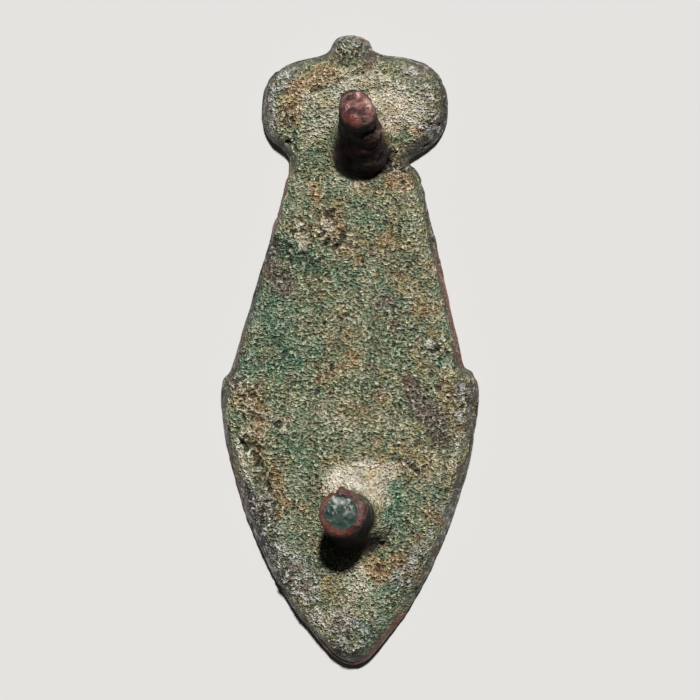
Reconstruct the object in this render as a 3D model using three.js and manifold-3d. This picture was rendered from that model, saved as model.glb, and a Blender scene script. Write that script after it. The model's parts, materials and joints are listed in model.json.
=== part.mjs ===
// Cast bronze strap mount: a flat leaf-shaped plate with a knobbed oval head, and two rivet pegs that
// were cast in one with it and stand on its back.
// Millimetres, +Z up. The plate lies on its flat front at z = 0 with its pegs up and its knob towards
// +Y. The origin is under the middle of its length and width.
import * as THREE from "three";
import { mergeVertices } from "three/addons/utils/BufferGeometryUtils.js";
import Module from "manifold-3d";

// ---- Driving dimensions ----

const LENGTH = 50;
const WIDTH = 20.5;
const THICKNESS = 2.2;

const TOP = LENGTH / 2;
const SIDE = WIDTH / 2;

// The corners of the outline's control polygon on each side, from the tip up. The outline cuts every
// corner off in a smooth curve that touches the middle of each of the polygon's edges.
const RIGHT_CORNERS = {
  tip: [[1.0, -TOP], [2.4, -23.7]],
  leaf: [[5.9, -18.9], [9.0, -11.4], [SIDE, -5.0]],
  shoulder: [[SIDE, -2.9], [9.7, -1.9], [9.0, -1.7]],
  flank: [[8.7, 0.2], [6.3, 10.9], [5.6, 14.0]],
  neck: [[4.5, 14.7], [5.8, 15.4]],
  head: [[7.2, 16.5], [7.85, 18.1], [7.85, 20.3], [6.9, 22.1], [5.0, 23.1]],
  knob: [[1.9, 23.4], [1.65, 24.5], [0.9, TOP]],
};
const LEFT_CORNERS = {
  tip: [[-0.5, -TOP], [-2.0, -23.7]],
  leaf: [[-5.7, -19.0], [-8.6, -12.4], [-SIDE, -5.6]],
  shoulder: [[-SIDE, -2.5], [-9.6, -2.1], [-9.3, -1.3]],
  flank: [[-8.2, 2.4], [-5.9, 10.3]],
  neck: [[-4.7, 14.7], [-5.1, 15.7]],
  head: [[-6.6, 16.7], [-7.05, 18.1], [-7.05, 20.3], [-6.2, 22.0], [-4.6, 23.0]],
  knob: [[-1.7, 23.4], [-1.3, 24.6], [-0.6, TOP]],
};
const CORNER_CUTS = 3;

// The plate's edge, from the front face up to the back: its height, and how far it lies in from the
// outline. The front has a narrow chamfer, and the flank slopes in to a worn, rounded back edge.
const EDGE = [
  { height: 0, inset: 0.35 },
  { height: 0.15, inset: 0.1 },
  { height: 0.4, inset: 0 },
  { height: 1.0, inset: 0.12 },
  { height: 1.5, inset: 0.32 },
  { height: 1.85, inset: 0.55 },
  { height: 2.1, inset: 0.85 },
  { height: THICKNESS, inset: 1.1 },
];
// At a corner that bends inwards the edge lies in by no more than this many times its inset.
const MOST_MITRE = 1.3;

// Low swellings on the back, as half axes of an ellipsoid and the height of its crest over the plate.
const HEAD_SWELL = { x: 0.4, y: 19.2, halfX: 6.2, halfY: 3.4, halfZ: 0.8, crest: 0.45 };
const UPPER_FOOT = { x: 1.1, y: 15.9, halfX: 2.9, halfY: 3.0, halfZ: 1.2, crest: 0.9 };
const LOWER_FOOT = { x: 0.7, y: -13.0, halfX: 3.6, halfY: 4.0, halfZ: 1.1, crest: 0.65 };

// Pegs: where the axis leaves the plate's back, how far it leans towards +X and +Y, how it is drawn
// out across the axis, and its profile as [radius, distance along the axis from the plate's back].
// Each root ends inside the plate, clear of its front face.
const PEG_ROOT = -1.1;
const UPPER_PEG = {
  x: 1.1,
  y: 15.9,
  leanX: 2,
  leanY: 24.5,
  twist: 28,
  oval: 1.15,
  profile: [
    [2.2, PEG_ROOT],
    [2.5, 0.2],
    [2.2, 0.9],
    [1.95, 1.8],
    [1.74, 2.8],
    [1.64, 3.8],
    [1.6, 4.6],
    [1.6, 5.0],
    [1.48, 5.28],
    [1.25, 5.4],
  ],
};
const LOWER_PEG = {
  x: 0.6,
  y: -13.6,
  leanX: -4,
  leanY: 4.5,
  twist: 0,
  oval: 1,
  profile: [
    [2.8, PEG_ROOT],
    [2.7, 0.15],
    [2.4, 0.5],
    [2.1, 1.0],
    [1.82, 2.0],
    [1.68, 3.4],
    [1.74, 4.2],
    [1.9, 4.65],
    [1.9, 4.95],
    [1.72, 5.15],
  ],
};
const PEG_SIDES = 32;

const BRONZE = new THREE.MeshStandardMaterial({ color: 0x6f7a5c, roughness: 0.85, metalness: 0.2 });

// ---- Outline ----

// The control polygon, anticlockwise from the right side of the tip.
function controlCorners() {
  const right = Object.values(RIGHT_CORNERS).flat();
  const left = Object.values(LEFT_CORNERS).flat();
  return [...right, ...left.reverse()].map(([x, y]) => new THREE.Vector2(x, y));
}

// Each corner of an anticlockwise polygon moved in along the line that halves its angle.
function insetCorners(corners, inset) {
  return corners.map((corner, i) => {
    const before = corners.at(i - 1);
    const after = corners[(i + 1) % corners.length];
    const arriving = corner.clone().sub(before).normalize();
    const leaving = after.clone().sub(corner).normalize();
    const along = arriving.clone().add(leaving).normalize();
    const inwards = new THREE.Vector2(-along.y, along.x);
    const mitre = Math.min(1 / along.dot(leaving), MOST_MITRE);
    return corner.clone().addScaledVector(inwards, inset * mitre);
  });
}

// A closed polygon with its corners cut off again and again, which ends as a smooth curve.
function rounded(corners) {
  let points = corners;
  for (let cut = 0; cut < CORNER_CUTS; cut++) {
    points = points.flatMap((point, i) => {
      const next = points[(i + 1) % points.length];
      return [point.clone().lerp(next, 0.25), point.clone().lerp(next, 0.75)];
    });
  }
  return points;
}

// ---- Solids ----

const wasm = await Module();
wasm.setup();

function solidOf(geometry) {
  const bare = geometry.clone();
  bare.deleteAttribute("normal");
  bare.deleteAttribute("uv");
  const merged = mergeVertices(bare, 1e-4);
  return new wasm.Manifold(
    new wasm.Mesh({
      numProp: 3,
      vertProperties: new Float32Array(merged.attributes.position.array),
      triVerts: new Uint32Array(merged.index.array),
    }),
  );
}

function geometryOf(solid) {
  const mesh = solid.getMesh();
  const geometry = new THREE.BufferGeometry();
  geometry.setAttribute("position", new THREE.BufferAttribute(mesh.vertProperties, mesh.numProp));
  geometry.setIndex(new THREE.BufferAttribute(mesh.triVerts, 1));
  geometry.computeVertexNormals();
  return geometry;
}

// The plate: one ring of points for each step of the edge, joined into walls, with a flat face below
// and above.
function plateSolid() {
  const corners = controlCorners();
  const rings = EDGE.map(({ inset }) => rounded(insetCorners(corners, inset)));
  const count = rings[0].length;
  const positions = rings.flatMap((ring, level) =>
    ring.flatMap((point) => [point.x, point.y, EDGE[level].height]),
  );
  const faces = [];
  for (let level = 0; level + 1 < rings.length; level++) {
    for (let i = 0; i < count; i++) {
      const next = (i + 1) % count;
      const [low, lowNext] = [level * count + i, level * count + next];
      const [high, highNext] = [low + count, lowNext + count];
      faces.push(low, lowNext, highNext, low, highNext, high);
    }
  }
  for (const [a, b, c] of THREE.ShapeUtils.triangulateShape(rings[0], [])) {
    faces.push(c, b, a);
  }
  const top = (rings.length - 1) * count;
  for (const [a, b, c] of THREE.ShapeUtils.triangulateShape(rings.at(-1), [])) {
    faces.push(top + a, top + b, top + c);
  }
  const geometry = new THREE.BufferGeometry();
  geometry.setAttribute("position", new THREE.Float32BufferAttribute(positions, 3));
  geometry.setIndex(faces);
  return solidOf(geometry);
}

// A low swelling: the top of an ellipsoid that is sunk in the plate.
function swellSolid({ x, y, halfX, halfY, halfZ, crest }) {
  const ball = new THREE.SphereGeometry(1, 36, 14);
  ball.rotateX(Math.PI / 2);
  ball.scale(halfX, halfY, halfZ);
  ball.translate(x, y, THICKNESS + crest - halfZ);
  return solidOf(ball);
}

// A peg: its profile turned about its axis, drawn out to an oval, and leaned about the point where the
// axis leaves the plate's back.
function pegSolid({ x, y, leanX, leanY, twist, oval, profile }) {
  const axisStart = new THREE.Vector2(0, profile[0][1]);
  const axisEnd = new THREE.Vector2(0, profile.at(-1)[1]);
  const turned = profile.map(([radius, along]) => new THREE.Vector2(radius, along));
  const peg = new THREE.LatheGeometry([axisStart, ...turned, axisEnd], PEG_SIDES);
  peg.rotateX(Math.PI / 2);
  peg.scale(1 / oval, oval, 1);
  peg.rotateZ(THREE.MathUtils.degToRad(twist));
  peg.rotateX(-THREE.MathUtils.degToRad(leanY));
  peg.rotateY(THREE.MathUtils.degToRad(leanX));
  peg.translate(x, y, THICKNESS);
  return solidOf(peg);
}

// ---- The mount ----

function mountGeometry() {
  const swells = [HEAD_SWELL, UPPER_FOOT, LOWER_FOOT].map(swellSolid);
  const pegs = [UPPER_PEG, LOWER_PEG].map(pegSolid);
  const cast = [...swells, ...pegs].reduce((whole, piece) => whole.add(piece), plateSolid());
  return geometryOf(cast);
}

const mount = new THREE.Mesh(mountGeometry(), BRONZE);
mount.name = "strap_mount";

const group = new THREE.Group();
group.add(mount);

export default group;
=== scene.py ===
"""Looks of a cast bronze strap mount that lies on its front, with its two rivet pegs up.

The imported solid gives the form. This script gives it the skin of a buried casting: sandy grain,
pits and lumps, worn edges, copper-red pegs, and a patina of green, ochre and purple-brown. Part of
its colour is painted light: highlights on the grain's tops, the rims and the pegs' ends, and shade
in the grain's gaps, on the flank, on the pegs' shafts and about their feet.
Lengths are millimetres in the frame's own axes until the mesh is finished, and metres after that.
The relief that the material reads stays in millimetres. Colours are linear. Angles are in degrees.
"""

import json
import math

import bpy
import numpy as np
from mathutils import Matrix, Vector
from mathutils.kdtree import KDTree


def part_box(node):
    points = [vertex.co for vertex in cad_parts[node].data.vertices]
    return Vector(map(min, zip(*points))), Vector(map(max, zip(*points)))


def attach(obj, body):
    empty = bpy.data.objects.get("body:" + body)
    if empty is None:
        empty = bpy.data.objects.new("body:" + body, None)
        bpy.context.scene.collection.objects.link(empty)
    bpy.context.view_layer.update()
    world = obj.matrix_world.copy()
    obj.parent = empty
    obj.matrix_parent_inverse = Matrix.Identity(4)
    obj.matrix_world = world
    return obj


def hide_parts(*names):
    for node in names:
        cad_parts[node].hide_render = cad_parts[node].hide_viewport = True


MM = 0.001
NODE = "strap_mount"
SLOT = "patinated_bronze"


# ---- Noise ----

# A turn, by 0.9 radians, that keeps one layer of noise from lining up with the next.
SKEW = np.array(Matrix.Rotation(0.9, 3, Vector((0.3, 0.5, 0.8))))
# Large primes that scatter the numbers of neighbouring cells.
PRIMES = [np.uint32(prime) for prime in (374761393, 668265263, 2246822519, 3266489917)]
# Each layer of crumbs is this many times smaller than the last, and this many times as strong.
CRUMB_SHRINK = 1.8
CRUMB_KEEP = 0.7


def hashed(cells, seed):
    """A number from 0 to 1 for each whole-numbered cell, always the same for the same seed."""
    x, y, z = (cells[..., i].astype(np.int64).astype(np.uint32) for i in range(3))
    h = x * PRIMES[0] + y * PRIMES[1] + z * PRIMES[2]
    h = h + np.uint32(seed * int(PRIMES[3]) & 0xFFFFFFFF)
    h = (h ^ (h >> np.uint32(15))) * PRIMES[2]
    h = (h ^ (h >> np.uint32(13))) * PRIMES[3]
    h = h ^ (h >> np.uint32(16))
    return (h & np.uint32(0xFFFFFF)).astype(np.float64) / 0x1000000


def waves(at, size, seed):
    """Smooth noise from -1 to 1, whose lumps are about size across."""
    at = at / size
    low = np.floor(at)
    part = at - low
    part = part * part * part * (part * (part * 6 - 15) + 10)
    total = np.zeros(len(at))
    for corner in np.ndindex(2, 2, 2):
        weight = np.ones(len(at))
        for axis, side in enumerate(corner):
            weight *= part[:, axis] if side else 1 - part[:, axis]
        total += weight * hashed(low + np.array(corner), seed)
    return 2 * total - 1


def layers(at, size, seed, count=3, keep=0.5):
    """Waves on waves: each layer is half as large as the last, and keep times as strong."""
    total = 0.0
    for i in range(count):
        total = total + keep**i * waves(at, size / 2**i, seed + i)
        at = at @ SKEW
    return total / sum(keep**i for i in range(count))


def crumbs(at, size, seed, count=3):
    """Crumbly lumps about size across with narrow gaps between them, from -1 to 1 or so."""
    total = 0.0
    for i in range(count):
        at = at @ SKEW
        lumps = np.abs(waves(at, size / CRUMB_SHRINK**i, seed + i))
        total = total + CRUMB_KEEP**i * (3 * lumps - 0.9)
    return total / sum(CRUMB_KEEP**i for i in range(count))


def ramp(value, low, high):
    """0 at low, 1 at high, and smooth between them. Low may be the larger."""
    share = np.clip((value - low) / (high - low), 0, 1)
    return share * share * (3 - 2 * share)


# ---- Marks: each is a line of one or more points, how far it reaches, and its strength ----

# The part of a mark's reach over which it has its full strength.
MARK_CORE = 0.2


def distance_to(flat, line):
    """How far each flat point lies from a line of flat points."""
    line = np.array(line, float)
    nearest = np.hypot(*(flat - line[0]).T)
    for start, end in zip(line, line[1:]):
        step = end - start
        along = np.clip((flat - start) @ step / (step @ step), 0, 1)
        nearest = np.minimum(nearest, np.hypot(*(flat - start - along[:, None] * step).T))
    return nearest


def marked(flat, rows, wander=0.0):
    """The strongest of several marks at each point. Wander makes their edges uneven."""
    found = np.zeros(len(flat))
    for line, reach, strength in rows:
        away = distance_to(flat, line) + wander * reach
        found = np.maximum(found, strength * ramp(away, reach, MARK_CORE * reach))
    return found


# Marks in the skin of the back, as (x, y) seen from above. The strength of a pit, crease, dent or
# lump is its depth or height in millimetres. A rough area's strength is a share from 0 to 1.
PITS = [
    ([(2.3, 21.6)], 0.34, 0.40),
    ([(4.4, 12.9)], 0.34, 0.24),
    ([(-4.3, 9.0)], 0.34, 0.24),
    ([(-3.5, 9.0)], 0.32, 0.22),
    ([(-1.4, 10.4), (-1.2, 10.6)], 0.38, 0.34),
    ([(-0.25, 8.6)], 0.40, 0.34),
    ([(-1.7, 8.2), (-1.9, 8.0)], 0.38, 0.34),
    ([(-0.9, 7.8)], 0.34, 0.28),
    ([(7.0, -0.35), (6.7, -0.6)], 0.40, 0.34),
    ([(-7.8, -3.7), (-7.5, -3.9)], 0.44, 0.36),
    ([(-6.4, -5.1)], 0.36, 0.30),
    ([(-5.4, -6.2)], 0.46, 0.45),
    ([(-8.4, -7.6), (-8.0, -8.0)], 0.38, 0.34),
    ([(-7.3, -8.6), (-6.9, -9.3)], 0.46, 0.34),
    ([(7.1, -3.4)], 0.38, 0.34),
    ([(1.65, -9.7)], 0.30, 0.18),
    ([(-6.4, -10.6), (-6.1, -11.3)], 0.34, 0.28),
    ([(-6.6, -11.9), (-5.8, -12.4)], 0.34, 0.28),
]
CREASES = [
    ([(-0.8, 21.0), (-0.3, 21.2), (0.4, 21.4), (1.25, 21.6)], 0.26, 0.22),
    ([(-2.8, 20.2), (-2.1, 20.4), (-1.6, 20.4)], 0.24, 0.20),
    ([(2.8, 14.7), (3.6, 14.1), (4.6, 13.95), (5.6, 14.2)], 0.40, 0.42),
    ([(5.0, -9.5), (5.6, -10.0)], 0.28, 0.20),
]
DENTS = [
    ([(-6.0, 8.0), (-4.2, 7.2), (-2.3, 6.0)], 1.1, 0.30),
    ([(-5.4, 5.4)], 1.2, 0.18),
    ([(5.0, -3.4), (7.4, -7.8)], 1.2, 0.16),
    ([(-5.9, -11.4)], 1.5, 0.22),
    ([(3.0, 16.3), (3.4, 14.6)], 1.0, 0.25),
]
LUMPS = [
    ([(-4.0, 9.5)], 0.60, 0.26),
    ([(-1.6, 9.5)], 0.65, 0.28),
    ([(-2.3, 8.9)], 0.50, 0.20),
    ([(-0.6, 9.6)], 0.55, 0.20),
    ([(-0.9, 8.7)], 0.45, 0.20),
    ([(6.5, 0.05)], 0.52, 0.26),
    ([(-8.0, -7.1), (-7.1, -7.3)], 0.80, 0.42),
    ([(-7.9, -4.6), (-7.7, -5.4)], 0.75, 0.34),
    ([(-5.0, -6.5)], 0.45, 0.22),
    ([(-7.0, -10.3)], 0.55, 0.22),
    ([(-6.2, -13.1)], 0.55, 0.20),
    ([(-4.9, -18.0)], 0.60, 0.25),
    ([(3.6, 20.9), (5.6, 20.2)], 1.2, 0.15),
    ([(1.8, -13.4), (2.6, -14.1)], 1.4, 0.30),
]
ROUGH_AREAS = [
    ([(-2.2, 10.4), (-0.4, 8.2)], 2.2, 1.0),
    ([(-7.8, -3.6), (-7.2, -6.0), (-7.4, -9.4)], 2.0, 1.0),
    ([(-6.3, -10.4), (-6.0, -12.6)], 1.6, 0.9),
    ([(-3.8, 20.1), (-4.6, 18.7)], 1.5, 0.7),
    ([(3.0, 16.4), (3.1, 14.1)], 1.4, 0.8),
    ([(-4.5, -17.5), (-0.5, -22.5)], 1.8, 0.7),
    ([(-4.2, 11.4), (-3.4, 8.0)], 1.4, 0.6),
    ([(2.0, -17.0), (4.6, -17.0)], 1.6, 0.4),
]

# Colours on the plate, as (x, y) seen from above, with shares from 0 to 1. WARM is ochre and tan,
# COOL is green, the pale and the dark table are crusts and also hold painted highlights and painted
# shade, the table after them is painted white highlights near the rims, PURPLE is purple-brown, and
# CUPRITE is copper-red on the plate's edge.
WARM = [
    ([(-1.7, 21.3), (-3.8, 20.5), (-4.7, 18.6)], 1.3, 1.0),
    ([(-5.6, 17.9)], 1.0, 0.5),
    ([(-5.3, 16.1)], 0.5, 1.0),
    ([(2.2, 20.5), (3.6, 19.0), (3.0, 16.5)], 1.5, 0.5),
    ([(4.9, 17.0), (5.5, 16.7)], 0.6, 1.0),
    ([(7.0, 17.8)], 0.9, 0.7),
    ([(3.9, 15.6), (3.2, 14.4)], 1.1, 0.6),
    ([(3.7, 13.2), (4.9, 12.8)], 0.9, 1.0),
    ([(0.8, 12.8), (1.2, 12.4)], 0.6, 0.8),
    ([(-2.6, 12.6), (-2.4, 11.6)], 0.7, 0.9),
    ([(-3.8, 10.4)], 0.6, 0.9),
    ([(-2.4, 10.4), (-0.2, 8.3)], 1.9, 0.85),
    ([(0.9, 6.7), (2.4, 7.6), (3.8, 8.8)], 0.9, 0.75),
    ([(4.9, 7.6), (6.2, 6.2)], 1.3, 0.6),
    ([(4.4, 5.2), (6.2, 2.4)], 1.6, 0.65),
    ([(-2.6, 4.9)], 0.7, 0.6),
    ([(1.45, 5.1)], 0.4, 1.0),
    ([(2.3, 5.5)], 0.5, 0.8),
    ([(-0.6, 2.1)], 0.4, 0.9),
    ([(-1.9, -2.6), (0.3, -1.2)], 1.2, 0.75),
    ([(2.7, -3.8)], 1.2, 0.5),
    ([(-8.2, -4.0), (-6.7, -5.4), (-7.3, -8.7)], 1.5, 0.8),
    ([(-7.1, -4.9), (-6.8, -6.2)], 0.6, 1.0),
    ([(-8.0, -7.0), (-7.1, -7.3)], 0.8, 0.7),
    ([(-5.9, -10.4), (-5.7, -12.6)], 1.4, 0.95),
    ([(-4.7, -8.9)], 0.6, 0.8),
    ([(-4.8, -12.3), (-3.4, -12.8)], 0.5, 0.8),
    ([(-4.15, -14.2)], 0.5, 1.0),
    ([(8.0, -3.4), (8.9, -5.6)], 1.5, 0.5),
    ([(4.4, -8.6), (7.4, -9.8)], 1.9, 0.45),
    ([(1.65, -9.7)], 0.5, 0.8),
    ([(6.3, -13.0), (7.0, -13.7)], 0.9, 1.0),
    ([(5.4, -15.0), (5.9, -15.0)], 0.6, 0.8),
    ([(1.9, -16.8), (2.5, -18.2)], 1.1, 1.0),
    ([(3.9, -16.7), (5.5, -17.7)], 1.2, 0.8),
    ([(-0.6, -15.8), (-2.4, -15.2)], 1.0, 0.4),
]
COOL = [
    ([(-2.3, 18.3)], 1.2, 0.6),
    ([(-1.4, 20.0)], 1.0, 0.4),
    ([(-4.0, 16.6)], 0.6, 1.0),
    ([(-3.4, 11.4), (-3.1, 10.4)], 0.9, 0.8),
    ([(1.0, 10.6), (2.4, 10.0)], 1.4, 0.4),
    ([(-4.6, 7.6), (-2.4, 6.1)], 1.0, 0.9),
    ([(-1.0, 5.4), (0.6, 4.4)], 1.6, 0.45),
    ([(-6.9, 3.2), (-4.6, 1.4), (-4.0, -0.6)], 2.6, 0.85),
    ([(-7.4, -1.0), (-5.0, -1.6)], 1.8, 0.55),
    ([(-1.9, 3.0)], 1.2, 0.6),
    ([(2.75, 4.7)], 0.8, 0.8),
    ([(2.2, 1.2), (3.4, -0.6)], 1.5, 0.35),
    ([(7.0, -1.1)], 0.9, 0.8),
    ([(6.4, 0.1)], 0.7, 1.0),
    ([(-4.6, -8.0), (-2.6, -9.2)], 1.6, 0.5),
    ([(3.7, -11.4), (3.9, -14.4)], 1.1, 0.9),
    ([(3.2, -13.3), (4.0, -13.8)], 0.6, 1.0),
    ([(3.0, -19.2), (1.6, -23.2)], 1.3, 0.7),
    ([(-4.0, -15.6), (-2.6, -17.4)], 1.4, 0.4),
    ([(7.0, -11.0)], 1.3, 0.4),
]
# Pale crust. Some rows are painted highlights, and painted light on lit slopes.
PALE_CRUST_AND_PAINTED_LIGHT_MARKS = [
    # Pale crust, partly painted light on the lit slope above the upper peg.
    ([(0.2, 20.9), (3.2, 20.7)], 1.1, 0.55),
    ([(-3.2, 19.6), (-1.2, 19.2), (-2.6, 16.8)], 1.5, 0.5),
    # Pale crust, partly painted light on the lit slope right of the upper peg.
    ([(2.3, 19.8), (5.6, 19.0), (3.4, 16.9)], 1.8, 0.75),
    ([(-4.1, 11.3), (-3.6, 7.9)], 0.9, 0.35),
    ([(6.9, 5.9)], 0.5, 1.0),
    ([(6.5, 0.05)], 0.55, 1.0),
    ([(-1.6, 9.5)], 0.7, 0.6),
    ([(-5.0, -6.5)], 0.6, 0.7),
    ([(-7.6, -6.8)], 0.6, 0.6),
    # Pale crust, partly painted light on the lit slope above the lower peg.
    ([(-0.9, -10.4), (2.2, -9.8)], 1.9, 1.0),
    ([(1.4, -10.3), (2.4, -11.4)], 1.4, 0.9),
    ([(-4.3, -17.4), (-3.4, -19.4)], 0.9, 0.8),
    ([(-2.4, -21.0), (0.8, -22.8)], 1.5, 0.6),
    ([(-1.0, 13.4), (0.4, 12.8)], 1.1, 0.35),
    ([(0.6, -17.6), (0.8, -21.4)], 2.0, 0.35),
    # Painted highlights along the lower edges, left and right.
    ([(-8.7, -7.4), (-7.6, -11.0)], 0.5, 0.6),
    ([(-6.0, -14.4), (-4.6, -16.8)], 0.9, 0.5),
    ([(8.8, -7.0), (8.2, -9.4)], 0.5, 0.4),
    # Painted highlights along the head's rims and on the knob.
    ([(4.4, 22.0), (6.2, 20.9), (6.9, 19.2)], 0.7, 0.45),
    ([(-6.4, 18.4), (-6.0, 20.8)], 0.6, 0.4),
    ([(-1.0, 24.2), (0.6, 24.4)], 0.4, 0.5),
    ([(-2.0, -5.0), (1.6, -7.0)], 3.0, 0.15),
]
# Dark crust. Some rows are painted shade.
DARK_CRUST_AND_PAINTED_SHADE_MARKS = [
    ([(-0.4, 22.8)], 0.7, 0.8),
    ([(1.6, 22.7)], 0.7, 0.7),
    ([(-5.0, 18.6), (-4.9, 18.0)], 0.8, 0.6),
    # Painted shade in the hollow below and right of the upper peg.
    ([(3.0, 16.2), (3.1, 14.1)], 1.1, 0.8),
    # A dark smudge along the dent, partly painted shade on its wall.
    ([(-6.3, 7.9), (-2.6, 6.0)], 0.9, 0.6),
    ([(-6.4, 6.4), (-5.6, 4.4)], 1.2, 0.6),
    ([(-1.4, 10.4)], 0.6, 0.8),
    ([(-1.6, 8.1), (-0.4, 8.3)], 0.6, 0.7),
    ([(4.0, 8.5)], 0.7, 0.6),
    ([(7.4, -0.7)], 0.7, 0.7),
    ([(-7.2, -8.4), (-6.9, -9.4)], 0.9, 0.8),
    ([(-6.4, -10.4), (-6.0, -12.6)], 1.0, 0.5),
    ([(4.6, -14.0), (5.2, -14.6)], 0.7, 0.6),
    ([(-0.6, -24.2), (0.8, -24.2)], 2.8, 1.0),
    # Painted shade along the head's right edge.
    ([(7.8, 20.8), (7.7, 17.2)], 1.7, 0.9),
    # Painted shade under the head's lower right bulge.
    ([(2.6, 14.4), (5.4, 14.6)], 1.2, 0.5),
    ([(0.0, 23.8)], 1.5, 0.6),
    ([(9.0, -3.0), (9.4, -6.4)], 1.2, 0.6),
    ([(-8.8, -11.6), (-5.0, -19.0)], 1.8, 0.9),
    ([(6.2, -17.0), (4.4, -19.6)], 1.6, 0.5),
]
# Painted white highlights near the rims, with painted shade between them.
PAINTED_RIM_HIGHLIGHTS = [
    ([(-8.2, -11.4), (-5.8, -16.2), (-2.8, -20.2)], 1.9, 0.8),
    ([(-2.0, -21.6), (0.4, -22.8)], 1.6, 0.6),
    ([(7.4, -13.0), (4.4, -18.2)], 1.1, 0.5),
    ([(-6.2, 17.2), (-6.1, 20.2), (-4.2, 22.0)], 1.0, 0.7),
    ([(6.4, 17.2), (6.6, 20.2), (4.8, 22.0)], 1.1, 0.8),
    ([(-1.0, 24.2), (1.0, 24.2)], 1.0, 0.7),
    ([(9.2, -3.2), (8.6, -8.0)], 0.9, 0.5),
]
PURPLE = [
    ([(1.5, 22.9)], 0.9, 0.8),
    ([(-6.0, 5.9), (-4.9, 4.4)], 1.3, 0.6),
    ([(1.95, 7.4)], 0.6, 0.6),
    ([(3.4, 3.2), (4.0, 1.4)], 1.3, 0.7),
    ([(2.1, -1.8)], 0.7, 0.9),
    ([(4.9, -3.0), (6.2, -5.2), (7.5, -7.8)], 1.3, 1.0),
    ([(2.6, -3.6)], 1.0, 0.5),
    ([(5.0, -9.4), (5.7, -10.0)], 0.7, 0.7),
    ([(5.1, 15.6), (6.2, 16.1)], 0.9, 0.9),
    ([(-9.4, -3.1)], 1.2, 0.9),
    ([(-6.6, 17.6), (-6.4, 20.4)], 0.9, 0.7),
    ([(-4.6, -17.6), (-3.6, -19.0)], 0.9, 0.6),
    ([(-0.4, -21.8)], 1.6, 0.6),
    ([(9.2, -9.4), (8.4, -11.6)], 0.9, 0.6),
]
CUPRITE = [
    ([(-5.1, 13.7), (-6.4, 9.4)], 1.0, 1.0),
    ([(-8.7, 1.4), (-9.3, -0.6)], 0.9, 0.6),
    ([(7.2, 7.5), (8.6, 1.2), (9.2, -1.0)], 1.0, 0.9),
    ([(-9.7, -8.3), (-8.3, -13.0)], 1.0, 0.7),
    ([(4.0, -21.2), (2.0, -24.0), (0.3, -25.0)], 1.0, 1.0),
    ([(-0.8, -24.8), (-3.2, -22.3)], 0.9, 0.6),
    ([(1.4, 24.6)], 0.9, 0.7),
]


# ---- Where the parts of the casting are ----

# The height of the plate's widest level, how near to it a point has to be, and the step between
# the points of the outline.
WIDEST_LEVEL = 0.4
LEVEL_NEAR = 0.01
OUTLINE_STEP = 0.1
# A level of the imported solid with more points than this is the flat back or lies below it.
BACK_POINTS = 100


class Places:
    """What part of the casting each point is on, as shares from 0 to 1 and as distances."""

    def __init__(self, at, up, outline, back_height, ends):
        self.at = at
        self.flat = at[:, :2]
        self.up = up
        self.inwards = distance_inwards(at, outline)
        self.front = ramp(self.up, -0.55, -0.85)
        self.peg = ramp(at[:, 2], back_height + 0.7, back_height + 1.5)
        self.back = ramp(self.up, 0.25, 0.7) * (1 - self.peg)
        self.side = (1 - self.front) * (1 - self.back) * (1 - self.peg)
        self.upper = PegPlace(at, *ends["upper_peg_end"])
        self.lower = PegPlace(at, *ends["lower_peg_end"])
        # How far the edges of the upper peg's ledge stray up and down.
        self.torn = 0.55 * layers(at, size=0.8, seed=86, count=4, keep=0.6)


class PegPlace:
    """Where each point is about one peg: its drop below the peg's end, and its place across it."""

    def __init__(self, at, end, axis):
        away = at - end
        along = away @ axis
        out = away - along[:, None] * axis
        rightwards = np.cross((0.0, 1.0, 0.0), axis)
        rightwards /= np.linalg.norm(rightwards)
        upwards = np.cross(axis, rightwards)
        self.drop = -along
        self.radius = np.linalg.norm(out, axis=1)
        self.across = np.stack([out @ rightwards, out @ upwards], 1)
        self.angle = np.degrees(np.arctan2(self.across[:, 1], self.across[:, 0]))
        self.near = ramp(self.radius, 3.4, 3.0) * ramp(self.drop, 4.6, 4.0)
        self.foot = ramp(self.radius, 3.6, 2.4) * ramp(self.drop, 7.5, 6.5)

    def facing(self, angle, width):
        """1 on the side of the peg that faces an angle, and 0 past a width to either side."""
        off = np.abs((self.angle - angle + 180) % 360 - 180)
        return ramp(off, width, 0.3 * width) * ramp(self.radius, 0.2, 0.5)

    def from_spot(self, x, y):
        """How far each point lies, across the peg, from a spot on its end."""
        return np.hypot(*(self.across - (x, y)).T)


def distance_inwards(at, outline):
    """How far each point lies in from the mount's outline, seen from above."""
    tree = KDTree(len(outline))
    for i, (x, y) in enumerate(outline):
        tree.insert((x, y, 0), i)
    tree.balance()
    return np.array([tree.find((x, y, 0))[2] for x, y in at[:, :2]])


def outline_of(points, edges):
    """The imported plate's edge at its widest level, as points a short step apart."""
    level = np.abs(points[:, 2] - WIDEST_LEVEL) < LEVEL_NEAR
    rows = []
    for start, end in points[edges[level[edges].all(1)]][:, :, :2]:
        count = 1 + int(np.linalg.norm(end - start) / OUTLINE_STEP)
        rows.append(start + np.linspace(0, 1, count, endpoint=False)[:, None] * (end - start))
    return np.concatenate(rows)


def back_height_of(points):
    """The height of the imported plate's back: the highest level that holds many points."""
    levels, count = np.unique(points[:, 2].round(2), return_counts=True)
    return levels[count > BACK_POINTS].max()


def peg_ends(record):
    """The middle of each peg's end, in millimetres, and its axis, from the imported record."""
    return {
        mount["name"]: (np.array(mount["pos_m"]) / MM, np.array(mount["axis"]))
        for mount in record["mounts"]
        if mount["name"].endswith("_peg_end")
    }


# ---- The skin: how far each point moves out along its normal, in millimetres ----

# The ledge on the upper peg: its drop below the peg's end, the angle it faces, and its width.
LEDGE_DROP = 2.1
LEDGE_ANGLE = -42
LEDGE_WIDTH = 42


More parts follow.
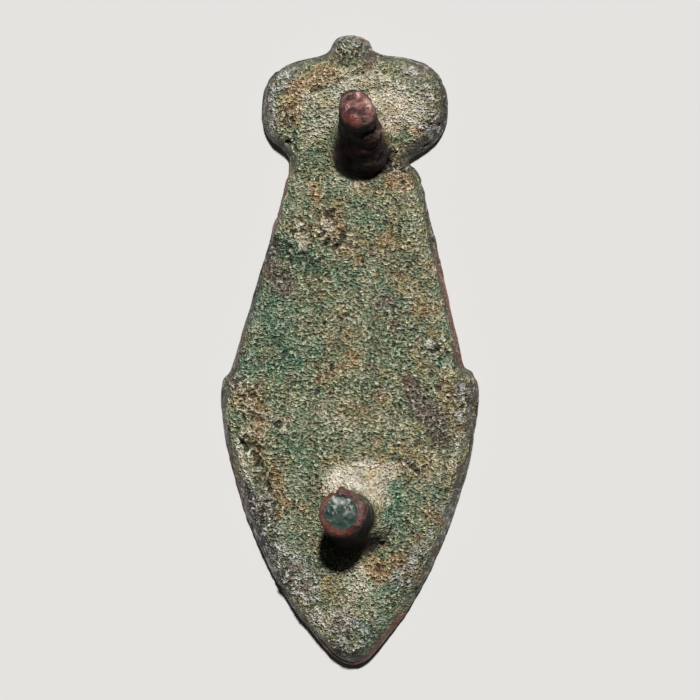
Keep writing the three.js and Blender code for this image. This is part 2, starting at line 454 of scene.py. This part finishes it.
def back_relief(p):
    """Crumbly cast skin of the back: slow unevenness, grain, and the marks in the tables."""
    rough = marked(p.flat, ROUGH_AREAS)
    smooth = marked(p.flat, PALE_CRUST_AND_PAINTED_LIGHT_MARKS)
    calm = 1 - 0.6 * np.maximum(p.upper.foot, p.lower.foot)
    slow = 0.12 * layers(p.at, size=5.0, seed=10)
    slow = slow + (0.14 + 0.20 * rough) * layers(p.at, size=1.3, seed=20)
    knobs = 0.19 * rough * crumbs(p.at, size=1.1, seed=44, count=2)
    grain = 0.06 * crumbs(p.at, size=0.62, seed=30)
    grain = grain + 0.075 * crumbs(p.at, size=0.3, seed=35, count=2)
    grain = grain * (1 + 0.25 * layers(p.at, size=3.0, seed=38)) * (1 - 0.4 * smooth)
    grain = grain * ramp(p.inwards, 0.1, 1.2)
    small_pits = -0.16 * ramp(waves(p.at, size=0.6, seed=40), 0.55, 0.85)
    wander = 0.9 * layers(p.at, size=0.7, seed=46, keep=0.7)
    made = marked(p.flat, LUMPS, wander) - marked(p.flat, PITS, wander)
    made = made - marked(p.flat, CREASES, wander) - marked(p.flat, DENTS, wander)
    return calm * (slow + knobs + grain + small_pits) + made


def side_relief(p):
    """Flank of the plate, smoother than the back, with small dents."""
    dents = -0.10 * ramp(waves(p.at, size=0.8, seed=50), 0.3, 0.8)
    slow = 0.10 * layers(p.at, size=1.6, seed=55)
    return slow + 0.015 * crumbs(p.at, size=0.5, seed=60) + dents


def front_relief(p):
    """Plain front: it only goes inwards, so that the plate still lies flat."""
    pits = -0.06 * ramp(waves(p.at, size=0.9, seed=70), 0.5, 0.9)
    return -0.015 * (1 + layers(p.at, size=3.0, seed=75)) + pits


def ledge_share(p, drop, angle, width):
    """A torn band round part of the upper peg, at a drop below its end."""
    off = np.abs(p.upper.drop + p.torn - drop)
    return p.upper.near * p.upper.facing(angle, width) * ramp(off, 0.45, 0.1)


def upper_peg_relief(p):
    """Peg that is bent up: a worn, domed end with a dimple, and a torn ledge low on its right."""
    peg = p.upper
    end = ramp(peg.drop, 0.7, 0.2)
    uneven = 0.3 * layers(p.at, size=0.9, seed=86)
    dimple = -0.11 * end * ramp(peg.from_spot(-0.1, 0.0) + uneven, 0.8, 0.1)
    swelling = 0.20 * end * ramp(peg.from_spot(-0.3, 0.9) + uneven, 0.9, 0.2)
    worn = -0.22 * ramp(peg.radius + uneven, 1.0, 1.7) * ramp(peg.drop, 0.5, 0.0)
    corner = 0.22 * peg.facing(-112, 45) * ramp(peg.drop, 1.2, 0.6)
    ledge = 0.26 * ledge_share(p, LEDGE_DROP, LEDGE_ANGLE, LEDGE_WIDTH)
    ledge = ledge + 0.08 * ledge_share(p, 3.4, -65, 40)
    groove = 0.26 * ledge_share(p, 1.4, -35, 60)
    trim = -0.13 * peg.facing(0, 90) * ramp(peg.drop, 1.2, 0.6)
    return peg.near * (dimple + swelling + worn + corner + trim) + (ledge - groove)


def core_distance(p):
    """How far each point lies from the middle of the lower peg's sunken core."""
    away = p.lower.across - (-0.26, 0.1)
    ragged = 0.26 * layers(p.at, size=0.8, seed=82)
    return np.hypot(away[:, 0] * 1.06, away[:, 1] * 0.97) + ragged


def lower_peg_relief(p):
    """Upright peg: a hammered rim about a sunken, wrinkled core, with a burr and a notch."""
    peg = p.lower
    end = ramp(peg.drop, 0.6, 0.25)
    core = ramp(core_distance(p), 1.35, 1.1) * end
    wrinkles = 0.36 * layers(p.at, size=0.55, seed=80, keep=0.6)
    rim = end * (1 - core) * (0.11 * layers(p.at, size=1.0, seed=84, count=2) - 0.02)
    lean = 0.16 * (peg.facing(180, 100) - peg.facing(0, 100)) * ramp(peg.radius, 1.3, 1.8)
    lean = (lean - 0.05) * ramp(peg.drop, 1.8, 0.8)
    burr = 0.20 * peg.facing(97, 11) * ramp(peg.drop, 0.8, 0.4) * ramp(peg.radius, 1.2, 1.6)
    notch = -0.30 * peg.facing(115, 10) * ramp(peg.drop, 0.9, 0.5) * ramp(peg.radius, 1.1, 1.6)
    bead = 0.16 * peg.facing(-75, 50) * ramp(np.abs(peg.drop - 0.85), 0.22, 0.05)
    return peg.near * (core * (wrinkles - 0.08) + rim + lean + burr + notch + bead)


def peg_relief(p):
    """Skin of both pegs: coarse dents, fine grain, and each peg's own marks."""
    dents = 0.07 * layers(p.at, size=1.1, seed=90)
    dents = dents - 0.07 * ramp(waves(p.at, size=0.5, seed=94), 0.4, 0.8)
    grain = 0.02 * crumbs(p.at, size=0.3, seed=96)
    return dents + grain + upper_peg_relief(p) + lower_peg_relief(p)


def skin(p):
    """The whole skin, each part's relief by its share of the point."""
    return (
        p.back * back_relief(p)
        + p.side * side_relief(p)
        + p.front * front_relief(p)
        + p.peg * peg_relief(p)
    )


def worn_away(at, inwards):
    """How far wear has lowered the plate towards its edge, unevenly."""
    reach = 1.7 + 0.7 * layers(at, size=3.0, seed=64, count=2)
    depth = 0.30 + 0.30 * layers(at, size=1.6, seed=66)
    return depth * ramp(inwards / reach, 1.0, 0.15) * ramp(at[:, 2], 0.45, 1.5)


# ---- The casting's mesh ----

# The side of the mesh's even squares, and the triangles that are left after thinning out.
SQUARE = 0.092
MOST_TRIANGLES = 196_000

# Rounds of easing: all over, along the creases where pegs and swellings rise from the back, and
# for the smooth form that the relief is measured from.
ROUNDS_ALL_OVER = 4
ROUNDS_IN_CREASES = 160
ROUNDS_FOR_RELIEF = 12


def points_of(mesh):
    """A mesh's points, one row each."""
    found = np.empty(len(mesh.vertices) * 3, np.float32)
    mesh.vertices.foreach_get("co", found)
    return found.reshape(-1, 3).astype(np.float64)


def set_points(mesh, points):
    """Moves a mesh's points to new places."""
    mesh.vertices.foreach_set("co", points.astype(np.float32).ravel())
    mesh.update()


def normals_of(mesh):
    """The normal at each of a mesh's points."""
    found = np.empty(len(mesh.vertices) * 3, np.float32)
    mesh.vertex_normals.foreach_get("vector", found)
    return found.reshape(-1, 3).astype(np.float64)


def edges_of(mesh):
    """The two points that each of a mesh's edges joins."""
    found = np.empty(len(mesh.edges) * 2, np.int32)
    mesh.edges.foreach_get("vertices", found)
    return found.reshape(-1, 2)


def eased(points, edges, rounds, share=1.0):
    """Points moved towards their neighbours' middle, each by its share, round after round."""
    a, b = edges.T
    count = np.bincount(a, minlength=len(points)) + np.bincount(b, minlength=len(points))
    share = 0.5 * np.broadcast_to(share, len(points))[:, None]
    for _ in range(rounds):
        total = np.stack(
            [
                np.bincount(a, column[b], len(points)) + np.bincount(b, column[a], len(points))
                for column in points.T
            ],
            1,
        )
        points = points + share * (total / count[:, None] - points)
    return points


def with_modifier(mesh, kind, **settings):
    """A new mesh: the given one with one modifier applied."""
    holder = bpy.data.objects.new("being_worked", mesh)
    bpy.context.scene.collection.objects.link(holder)
    modifier = holder.modifiers.new("step", kind)
    for name, value in settings.items():
        setattr(modifier, name, value)
    made = bpy.data.meshes.new_from_object(
        holder.evaluated_get(bpy.context.evaluated_depsgraph_get())
    )
    bpy.data.objects.remove(holder)
    bpy.data.meshes.remove(mesh)
    return made


def set_attribute(mesh, name, values):
    """Gives a mesh a new attribute, with a number for each point."""
    attribute = mesh.attributes.new(name, "FLOAT", "POINT")
    attribute.data.foreach_set("value", values.astype(np.float32))


def attribute_of(mesh, name):
    """A mesh's attribute, a number for each point."""
    found = np.empty(len(mesh.vertices), np.float32)
    mesh.attributes[name].data.foreach_get("value", found)
    return found.astype(np.float64)


def worn_form(points, edges, outline, back_height):
    """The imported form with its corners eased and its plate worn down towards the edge."""
    height = points[:, 2] - back_height
    crease = ramp(height, -0.3, -0.1) * ramp(height, 2.2, 1.4)
    points = eased(points, edges, ROUNDS_ALL_OVER)
    points = eased(points, edges, ROUNDS_IN_CREASES, crease)
    on_peg = ramp(points[:, 2] - back_height, 0.5, 1.2)
    points[:, 2] -= (1 - on_peg) * worn_away(points, distance_inwards(points, outline))
    return points


def add_skin(mesh, outline, back_height, ends):
    """Wears the form and puts the skin on it. The mesh then carries its relief and its slope."""
    edges = edges_of(mesh)
    points = worn_form(points_of(mesh), edges, outline, back_height)
    set_points(mesh, points)
    normals = normals_of(mesh)
    up = normals[:, 2]
    points = points + normals * skin(Places(points, up, outline, back_height, ends))[:, None]
    set_points(mesh, points)
    relief = ((points - eased(points, edges, ROUNDS_FOR_RELIEF)) * normals).sum(1)
    set_attribute(mesh, "relief", relief)
    set_attribute(mesh, "up", up)


def add_patina(mesh, outline, back_height, ends):
    """Gives the mesh its share of each patina colour, by where each point lies."""
    places = Places(points_of(mesh), attribute_of(mesh, "up"), outline, back_height, ends)
    for name, values in patina_shares(places).items():
        set_attribute(mesh, name, values)


def cast_mesh(node, record):
    """The node's form with the whole skin on it, and the patina's shares as attributes."""
    source = node.data.copy()
    source.transform(Matrix.Scale(1 / MM, 4))
    packed = points_of(source)
    layout = (outline_of(packed, edges_of(source)), back_height_of(packed), peg_ends(record))
    mesh = with_modifier(source, "REMESH", mode="VOXEL", voxel_size=SQUARE)
    add_skin(mesh, *layout)
    mesh = with_modifier(mesh, "DECIMATE", ratio=MOST_TRIANGLES / (2 * len(mesh.polygons)))
    add_patina(mesh, *layout)
    mesh.transform(Matrix.Scale(MM, 4))
    mesh.shade_smooth()
    return mesh


# ---- Where each colour of the patina lies ----


def painted_foot_shadow_share(p, wander):
    """Painted shadow about the pegs' feet, on the sides that face the tip, away from the light."""
    upper = ramp(np.abs(p.upper.across[:, 0]) + 0.4 * wander, 2.7, 2.0)
    upper *= ramp(p.upper.across[:, 1], 0.6, -0.8) * ramp(p.upper.radius, 3.0, 2.6)
    upper *= ramp(p.upper.drop, 7.5, 6.8)
    lower = p.lower.foot * ramp(p.lower.across[:, 1], -0.6, -1.8)
    return np.maximum(upper, lower) * (1 - p.front)


def shaft_and_painted_shade_share(p, wander, flecks):
    """Near-black on the pegs' shafts and feet, painted shade over a dark crust, patchy on their
    sides that face the knob and the light.
    """
    patchy = sum(
        peg.near * peg.facing(90, 120) * ramp(peg.drop, 0.8, 1.6) for peg in (p.upper, p.lower)
    )
    return np.maximum(p.peg * (1 - 0.7 * patchy * flecks), painted_foot_shadow_share(p, wander))


def upper_peg_shares(p, wander, flecks):
    """Copper on the upper peg's end and ledge, with painted highlights and a red lower corner."""
    peg = p.upper
    end = peg.near * ramp(peg.drop + 0.2 * wander, 0.75, 0.5)
    end *= ramp(peg.radius + 0.15 * wander, 1.75, 1.35)
    # Painted highlights on the end's upper left and right, and on the ledge.
    highlight = end * ramp(peg.radius, 0.5, 0.9) * ramp(peg.radius, 1.6, 1.3)
    highlight *= 1.1 * peg.facing(112, 45) + 0.4 * peg.facing(20, 40)
    ledge_highlight = 0.7 * peg.near * ledge_share(p, LEDGE_DROP, -30, 22)
    return {
        "tone_and_painted_light": (highlight + ledge_highlight) * flecks,
        "cuprite": 0.9 * end * peg.facing(-118, 50) * ramp(peg.radius, 0.9, 1.4),
        "copper": np.maximum(end, 0.8 * ledge_share(p, LEDGE_DROP, LEDGE_ANGLE, LEDGE_WIDTH)),
    }


def lower_peg_shares(p, flecks):
    """Copper on the lower peg's rim, red in two places, with a painted highlight at its upper
    right, round a core whose top is paler, partly as painted highlight.
    """
    peg = p.lower
    end = peg.near * ramp(peg.drop, 0.75, 0.5)
    core = ramp(core_distance(p), 1.4, 1.2)
    rim = end * (1 - core)
    core = end * core
    red = np.maximum(0.55 * peg.facing(-115, 80), 0.8 * peg.facing(135, 35))
    return {
        "tone_and_painted_light": core * ramp(peg.across[:, 1], -0.5, 0.8)
        + 0.4 * rim * peg.facing(45, 30) * flecks,
        "cuprite": rim * red,
        "copper": rim * (0.6 - 0.25 * peg.facing(-100, 80)),
        "core": core,
    }


def patina_shares(p):
    """How much of each patina colour lies on each point."""
    wander = 0.9 * layers(p.at, size=2.0, seed=200, count=5, keep=0.7)
    flecks = ramp(layers(p.at, size=0.8, seed=210, count=4, keep=0.7), -0.2, 0.3)
    plate = (1 - p.peg) * (1 - p.front)
    warmth = marked(p.flat, WARM, wander) - marked(p.flat, COOL, wander)
    # Pale and dark crusts, together with painted highlights and painted shade.
    tone_and_painted_light = marked(p.flat, PALE_CRUST_AND_PAINTED_LIGHT_MARKS, wander) - marked(p.flat, DARK_CRUST_AND_PAINTED_SHADE_MARKS, wander)
    red_edge = marked(p.flat, CUPRITE) * ramp(p.inwards, 0.45, 0.2)
    upper = upper_peg_shares(p, wander, flecks)
    lower = lower_peg_shares(p, flecks)
    return {
        "warmth": plate * warmth,
        "tone_and_painted_light": plate * tone_and_painted_light + upper["tone_and_painted_light"] + lower["tone_and_painted_light"],
        "purple": plate * marked(p.flat, PURPLE, wander),
        "painted_rim_highlight": plate * marked(p.flat, PAINTED_RIM_HIGHLIGHTS, wander),
        "flank": plate * ramp(p.up + 0.35 * wander, 0.70, 0.38) * ramp(p.inwards, 1.2, 0.6),
        "cuprite": np.maximum.reduce([plate * red_edge, upper["cuprite"], lower["cuprite"]]),
        "shaft_and_painted_shade": shaft_and_painted_shade_share(p, wander, flecks),
        "copper": np.maximum(upper["copper"], lower["copper"]),
        "core": lower["core"],
    }


# ---- The material ----

# The plate: its ground from the coolest patina to the warmest, and what lies on the ground.
GROUND = [
    (0.080, 0.175, 0.100),
    (0.140, 0.205, 0.120),
    (0.210, 0.222, 0.118),
    (0.310, 0.238, 0.112),
    (0.280, 0.150, 0.062),
]
# How far along that row the ground lies where it is neither warm nor cool.
GROUND_MIDDLE = 0.46
# Pale and ochre crusts. Some marks also lay them on as painted highlights and painted light.
PALE_CRUST_AND_PAINTED_LIGHT = (0.780, 0.710, 0.580)
OCHRE_CRUST_AND_PAINTED_LIGHT = (0.640, 0.500, 0.290)
# Dark crust. Some marks also lay it on as painted shade.
DARK_CRUST_AND_PAINTED_SHADE = (0.050, 0.046, 0.030)
PURPLE_BROWN = (0.130, 0.096, 0.082)
# The flank's colour: dark patina, and painted shade where the flank turns from the light.
FLANK_PATINA_AND_PAINTED_SHADE = (0.030, 0.025, 0.019)
# Near-black of the grain's gaps: dirt and painted shade. It also darkens the ground between the
# rims' painted highlights.
DIRT_AND_PAINTED_SHADE = (0.010, 0.010, 0.006)
# Pale tops of the grain, greenish and lilac: pale crust and painted highlight. The lilac also
# colours the flank's painted glints.
CROWN_AND_PAINTED_HIGHLIGHT = (0.600, 0.620, 0.480)
LILAC_CROWN_AND_PAINTED_HIGHLIGHT = (0.640, 0.590, 0.500)
# White of the painted highlights along the rims.
PAINTED_HIGHLIGHT_WHITE = (0.580, 0.570, 0.550)

# The pegs, and the red of worn edges.
RED = (0.230, 0.050, 0.022)
# Near-black of the pegs' shafts and feet: painted shade over a dark crust.
SHAFT_CRUST_AND_PAINTED_SHADE = (0.007, 0.005, 0.004)
COPPER = (0.230, 0.108, 0.092)
COPPER_DARK = (0.055, 0.025, 0.024)
# Painted highlights on the copper of the pegs' ends.
COPPER_PAINTED_HIGHLIGHT = (0.620, 0.430, 0.380)
CORE = (0.012, 0.034, 0.023)
# Pale of the core's wrinkles and top: pale patina and painted highlight.
CORE_PALE_AND_PAINTED_HIGHLIGHT = (0.420, 0.420, 0.380)

# How strongly the surface shines, and the depth of its bumps in millimetres.
SPECULAR = 0.35
BUMP_DEPTH = 0.8

# How sharply a broken share ends: half the range over which a fleck fades out.
FLECK_FADE = 0.4


class Material:
    """A node material that is built up as one colour laid over another."""

    def __init__(self, name):
        self.made = bpy.data.materials.new(name)
        self.made.use_nodes = True
        self.tree = self.made.node_tree
        self.tree.nodes.clear()
        self.place = self.node("ShaderNodeTexCoord").outputs["Object"]

    def node(self, kind, inputs=(), **settings):
        """A new node with its settings, and a value or a link for each input that is named."""
        made = self.tree.nodes.new(kind)
        for name, value in settings.items():
            setattr(made, name, value)
        for name, value in dict(inputs).items():
            self.feed(made.inputs[name], value)
        return made

    def feed(self, socket, value):
        """Gives a socket another node's output, a colour or a number."""
        if isinstance(value, bpy.types.NodeSocket):
            self.tree.links.new(value, socket)
        elif socket.type == "RGBA" and len(value) == 3:
            socket.default_value = (*value, 1)
        else:
            socket.default_value = value

    def share(self, name):
        """A share that the mesh carries."""
        return self.node("ShaderNodeAttribute", attribute_name=name).outputs["Fac"]

    def noise(self, size, detail, roughness, shift):
        """Noise from 0 to 1 with lumps of a size. A shift, in millimetres, makes it another."""
        moved = self.node(
            "ShaderNodeVectorMath",
            {0: self.place, 1: (shift * MM, shift * MM, 0)},
            operation="ADD",
        )
        inputs = {
            "Vector": moved.outputs[0],
            "Scale": 0.5 / (size * MM),
            "Detail": detail,
            "Roughness": roughness,
        }
        return self.node("ShaderNodeTexNoise", inputs).outputs["Fac"]

    def math(self, operation, a, b):
        """One operation on two numbers or outputs."""
        return self.node("ShaderNodeMath", {0: a, 1: b}, operation=operation).outputs[0]

    def times(self, a, b):
        """Two numbers or outputs multiplied."""
        return self.math("MULTIPLY", a, b)

    def spread(self, value, low, high, to_low=0.0, to_high=1.0):
        """A value's range from low to high stretched to another one, and held within it."""
        inputs = {
            "Value": value,
            "From Min": low,
            "From Max": high,
            "To Min": to_low,
            "To Max": to_high,
        }
        return self.node("ShaderNodeMapRange", inputs).outputs[0]

    def blend(self, under, over, share):
        """One colour over another, by a share. The colours are the node's inputs 6 and 7."""
        made = self.node("ShaderNodeMix", data_type="RGBA")
        self.feed(made.inputs["Factor"], share)
        self.feed(made.inputs[6], under)
        self.feed(made.inputs[7], over)
        return made.outputs[2]

    def scaled(self, colour, factor):
        """A colour made darker or lighter by a factor."""
        inputs = {0: colour, "Scale": factor}
        return self.node("ShaderNodeVectorMath", inputs, operation="SCALE").outputs[0]

    def ramp(self, value, colours):
        """Even steps of colour as a value goes from 0 to 1."""
        made = self.node("ShaderNodeValToRGB", {"Fac": value})
        stops = made.color_ramp.elements
        for i, colour in enumerate(colours):
            stop = stops[i] if i < 2 else stops.new(i / (len(colours) - 1))
            stop.position = i / (len(colours) - 1)
            stop.color = (*colour, 1)
        return made.outputs["Color"]

    def broken(self, share, noise):
        """A share that lies in flecks: the larger it is, the more of the surface they cover."""
        cover = self.math("SUBTRACT", self.spread(noise, 0.3, 0.7), 1.0)
        return self.spread(self.math("ADD", cover, share), -FLECK_FADE, FLECK_FADE)


def ground_colour(m, pale):
    """Patina of the plate: from green to orange-brown, then paler or darker by crusts, painted
    highlights and painted shade, then purple-brown.
    """
    warmth = m.times(m.share("warmth"), 0.40)
    for size, strength, shift in ((2.4, 0.5, 3), (0.9, 0.8, 6), (0.3, 1.0, 9)):
        drift = m.noise(size, detail=3, roughness=0.6, shift=shift)
        warmth = m.math("ADD", warmth, m.times(m.math("SUBTRACT", drift, 0.5), strength))
    colour = m.ramp(m.math("ADD", warmth, GROUND_MIDDLE), GROUND)
    ochre = m.spread(m.noise(0.7, detail=4, roughness=0.7, shift=18), 0.42, 0.64, 0.0, 0.8)
    # The crust's colour, which is also the colour of the painted highlights.
    crust = m.blend(PALE_CRUST_AND_PAINTED_LIGHT, OCHRE_CRUST_AND_PAINTED_LIGHT, ochre)
    # Paler by crust and painted highlights, darker by dark crust and painted shade.
    colour = m.blend(colour, crust, m.spread(pale, 0.0, 1.0))
    colour = m.blend(colour, DARK_CRUST_AND_PAINTED_SHADE, m.spread(pale, 0.0, -1.0))
    purple = m.broken(m.share("purple"), m.noise(0.5, detail=4, roughness=0.7, shift=15))
    return m.blend(colour, PURPLE_BROWN, m.times(purple, 0.8))


def with_crowns_and_painted_highlights(m, colour, fine, flank):
    """Pale crowns on the tops of the grain, greenish or lilac, partly pale crust and partly painted
    highlight, and few of them on the flank.
    """
    crowns = m.times(m.spread(m.share("relief"), 0.0, 0.09), m.spread(fine, 0.42, 0.6, 0.1, 0.7))
    crowns = m.times(crowns, m.spread(flank, 0.0, 1.0, 1.0, 0.1))
    lilac = m.spread(m.noise(1.2, detail=3, roughness=0.6, shift=84), 0.45, 0.6)
    return m.blend(colour, m.blend(CROWN_AND_PAINTED_HIGHLIGHT, LILAC_CROWN_AND_PAINTED_HIGHLIGHT, lilac), crowns)


def with_gap_dirt_and_painted_shade(m, colour, pale):
    """Dirt and painted shade in the gaps of the grain, and little of them in the pale crust."""
    gaps = m.times(m.spread(m.share("relief"), 0.01, -0.08), m.spread(pale, 0.3, 1.0, 0.8, 0.12))
    return m.blend(colour, DIRT_AND_PAINTED_SHADE, gaps)


def with_painted_glints(m, colour, flank):
    """Painted lilac glints on the flank, and painted white highlights along the rims with painted
    shade between them.
    """
    # Painted lilac glints on the flank.
    glints = m.spread(m.noise(0.2, detail=3, roughness=0.65, shift=40), 0.54, 0.66, 0.0, 0.55)
    colour = m.blend(colour, LILAC_CROWN_AND_PAINTED_HIGHLIGHT, m.times(flank, glints))
    # Painted white highlights along the rims, with painted shade between them.
    painted_rim_highlight = m.times(m.share("painted_rim_highlight"), m.spread(flank, 0.0, 1.0, 1.0, 0.55))
    colour = m.blend(colour, DIRT_AND_PAINTED_SHADE, m.times(painted_rim_highlight, 0.45))
    flecks = m.spread(m.noise(0.32, detail=3, roughness=0.7, shift=44), 0.49, 0.58, 0.0, 0.9)
    return m.blend(colour, PAINTED_HIGHLIGHT_WHITE, m.times(painted_rim_highlight, flecks))


def plate_colour(m, fine, broad, flank):
    """The plate's ground with all that lies on it, and its finest grains lighter and darker."""
    # Broad random tone, plus the mesh's crusts, painted highlights and painted shade.
    pale = m.times(m.math("SUBTRACT", broad, 0.5), 1.6)
    pale = m.math("ADD", m.times(m.share("tone_and_painted_light"), 0.9), pale)
    colour = ground_colour(m, pale)
    # The flank darkened: dark patina and painted shade.
    colour = m.blend(colour, FLANK_PATINA_AND_PAINTED_SHADE, m.times(flank, 0.92))
    colour = with_crowns_and_painted_highlights(m, colour, fine, flank)
    colour = with_gap_dirt_and_painted_shade(m, colour, pale)
    colour = with_painted_glints(m, colour, flank)
    even = m.math("MAXIMUM", m.spread(pale, 0.3, 1.0), flank)
    darkest = m.spread(even, 0.0, 1.0, 0.42, 0.8)
    brightest = m.spread(even, 0.0, 1.0, 2.1, 1.4)
    return m.scaled(colour, m.spread(fine, 0.32, 0.68, darkest, brightest))


def core_colour(m):
    """The lower peg's core: dark green, with pale mottling on its wrinkles and towards its top,
    partly pale patina and partly painted highlight.
    """
    mottle = m.spread(m.noise(0.4, detail=4, roughness=0.75, shift=74), 0.46, 0.62)
    wrinkles = m.spread(m.share("relief"), 0.0, 0.06, 0.0, 0.7)
    mottle = m.math("ADD", m.times(mottle, 0.4), wrinkles)
    mottle = m.times(mottle, m.spread(m.share("tone_and_painted_light"), 0.0, 1.0, 0.15, 1.2))
    return m.blend(CORE, CORE_PALE_AND_PAINTED_HIGHLIGHT, mottle)


def with_pegs(m, colour, copper, shaft_and_painted_shade):
    """Painted shade on the pegs' shafts, streaked copper ends with painted highlights, red corners
    and edges, and the lower peg's core.
    """
    # Painted shade on the pegs' shafts and about their feet.
    colour = m.blend(colour, SHAFT_CRUST_AND_PAINTED_SHADE, shaft_and_painted_shade)
    streak = m.spread(m.noise(0.5, detail=4, roughness=0.65, shift=70), 0.38, 0.56)
    # The copper's painted highlights.
    ends = m.blend(m.blend(COPPER, COPPER_DARK, streak), COPPER_PAINTED_HIGHLIGHT, m.share("tone_and_painted_light"))
    colour = m.blend(colour, ends, copper)
    red = m.broken(m.share("cuprite"), m.noise(0.6, detail=5, roughness=0.75, shift=66))
    colour = m.blend(colour, RED, m.times(red, 0.6))
    return m.blend(colour, core_colour(m), m.share("core"))


def roughness_of(m, broad, flank, copper, shaft_and_painted_shade):
    """Dull crust in broad patches, smoother on the flank and on copper, duller on the shafts."""
    rough = m.spread(broad, 0.35, 0.65, 0.75, 0.5)
    rough = m.math("SUBTRACT", rough, m.times(flank, 0.25))
    rough = m.math("SUBTRACT", rough, m.times(copper, 0.25))
    return m.math("ADD", rough, m.times(shaft_and_painted_shade, 0.25))


def bumps(m, fine, flank, bare):
    """Grain too fine for the mesh, worn off the pegs and the flank, and soft dents in the pegs."""
    dents = m.times(m.noise(0.35, detail=2, roughness=0.5, shift=90), m.times(bare, 0.25))
    worn = m.math("MAXIMUM", m.times(bare, 0.95), m.times(flank, 0.75))
    grain = m.times(fine, m.math("SUBTRACT", 1.0, worn))
    inputs = {"Strength": 1.0, "Distance": BUMP_DEPTH * MM, "Height": m.math("ADD", grain, dents)}
    return m.node("ShaderNodeBump", inputs).outputs["Normal"]


def bronze_material():
    """Buried bronze: patches of patina, dark gaps and pale crowns that are partly painted shade and
    painted highlight, painted shade on the pegs' shafts, and bare copper with painted highlights.
    """
    m = Material(SLOT)
    fine = m.noise(0.11, detail=1, roughness=0.8, shift=80)
    broad = m.noise(0.8, detail=4, roughness=0.7, shift=12)
    flank = m.broken(m.share("flank"), m.noise(0.9, detail=5, roughness=0.75, shift=60))
    copper = m.share("copper")
    shaft_and_painted_shade = m.share("shaft_and_painted_shade")
    shader = m.node(
        "ShaderNodeBsdfPrincipled",
        {
            "Base Color": with_pegs(m, plate_colour(m, fine, broad, flank), copper, shaft_and_painted_shade),
            "Roughness": roughness_of(m, broad, flank, copper, shaft_and_painted_shade),
            "Specular IOR Level": SPECULAR,
            "Metallic": m.times(copper, 0.6),
            "Normal": bumps(m, fine, flank, m.math("MAXIMUM", copper, shaft_and_painted_shade)),
        },
    )
    m.node("ShaderNodeOutputMaterial", {"Surface": shader.outputs[0]})
    return m.made


# ---- Studio ----

# The camera stands over the mount, this many degrees to its right and down towards its tip. Its
# distance is in metres; its lens, and its aim beside the mount's middle, are in millimetres.
CAMERA_DISTANCE = 0.208
CAMERA_RIGHT = 5.5
CAMERA_DOWN = 4.6
CAMERA_LENS = 135
CAMERA_AIM = (0.0, -0.2)

# The key light is a sun beyond the knob: how high it stands over the floor, how far it is turned to
# the right, its strength, and how wide it looks. The room's light is even, from all round.
KEY_HEIGHT = 59
KEY_TURN = 13
KEY_STRENGTH = 4.7
KEY_SPREAD = 6
ROOM_LIGHT = 0.025

# The floor reaches this many metres to each side of the mount.
FLOOR_HALF = 3.0
FLOOR_COLOUR = (0.59, 0.58, 0.56, 1)
FLOOR_ROUGHNESS = 0.9


def aimed(thing, towards, distance, target):
    """Stands a camera or light off its target in a direction, with +Y at the top of its view."""
    back = Vector(towards).normalized()
    right = Vector((0, 1, 0)).cross(back).normalized()
    turn = Matrix((right, back.cross(right), back)).transposed()
    thing.matrix_world = Matrix.Translation(Vector(target) + back * distance) @ turn.to_4x4()


def add_camera(target):
    """The main view, over the mount."""
    data = bpy.data.cameras.new("camera")
    data.lens = CAMERA_LENS
    data.clip_start = 0.01
    camera = bpy.data.objects.new("camera", data)
    bpy.context.scene.collection.objects.link(camera)
    right = math.tan(math.radians(CAMERA_RIGHT))
    down = math.tan(math.radians(CAMERA_DOWN))
    aimed(camera, (right, -down, 1), CAMERA_DISTANCE, target)
    bpy.context.scene.camera = camera


def add_key():
    """The key light."""
    data = bpy.data.lights.new("key", "SUN")
    data.energy = KEY_STRENGTH
    data.angle = math.radians(KEY_SPREAD)
    key = bpy.data.objects.new("key", data)
    bpy.context.scene.collection.objects.link(key)
    turn = math.radians(KEY_TURN)
    towards = (math.sin(turn), math.cos(turn), math.tan(math.radians(KEY_HEIGHT)))
    aimed(key, towards, 1.0, (0, 0, 0))


def add_room():
    """Even light from all round."""
    world = bpy.data.worlds.new("room")
    world.use_nodes = True
    background = world.node_tree.nodes["Background"]
    background.inputs["Color"].default_value = (1.0, 1.0, 1.0, 1)
    background.inputs["Strength"].default_value = ROOM_LIGHT
    bpy.context.scene.world = world


def add_floor(height):
    """A pale floor at the height of the mount's front."""
    half = FLOOR_HALF
    mesh = bpy.data.meshes.new("floor")
    corners = [(-half, -half, 0), (half, -half, 0), (half, half, 0), (-half, half, 0)]
    mesh.from_pydata(corners, [], [(0, 1, 2, 3)])
    floor = bpy.data.objects.new("floor", mesh)
    floor.location.z = height
    bpy.context.scene.collection.objects.link(floor)
    material = bpy.data.materials.new("pale_floor")
    material.use_nodes = True
    shader = material.node_tree.nodes["Principled BSDF"]
    shader.inputs["Base Color"].default_value = FLOOR_COLOUR
    shader.inputs["Roughness"].default_value = FLOOR_ROUGHNESS
    mesh.materials.append(material)


# ---- Putting it together ----


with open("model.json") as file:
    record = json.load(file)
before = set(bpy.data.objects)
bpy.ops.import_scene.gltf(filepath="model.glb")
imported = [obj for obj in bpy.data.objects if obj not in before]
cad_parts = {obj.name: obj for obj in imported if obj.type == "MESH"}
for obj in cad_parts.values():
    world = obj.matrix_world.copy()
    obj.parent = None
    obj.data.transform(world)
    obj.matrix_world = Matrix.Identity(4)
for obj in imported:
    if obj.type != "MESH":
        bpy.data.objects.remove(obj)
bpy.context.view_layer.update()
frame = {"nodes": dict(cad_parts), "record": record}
low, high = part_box(NODE)

mesh = cast_mesh(frame["nodes"][NODE], frame["record"])
mesh.materials.clear()
mesh.materials.append(bronze_material())
piece = bpy.data.objects.new("strap_mount_casting", mesh)
bpy.context.scene.collection.objects.link(piece)
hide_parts(NODE)
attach(piece, "root")

middle = (low + high) / 2
add_camera((middle.x + CAMERA_AIM[0] * MM, middle.y + CAMERA_AIM[1] * MM, low.z))
add_key()
add_room()
add_floor(low.z)
bpy.context.scene.view_settings.view_transform = "Standard"
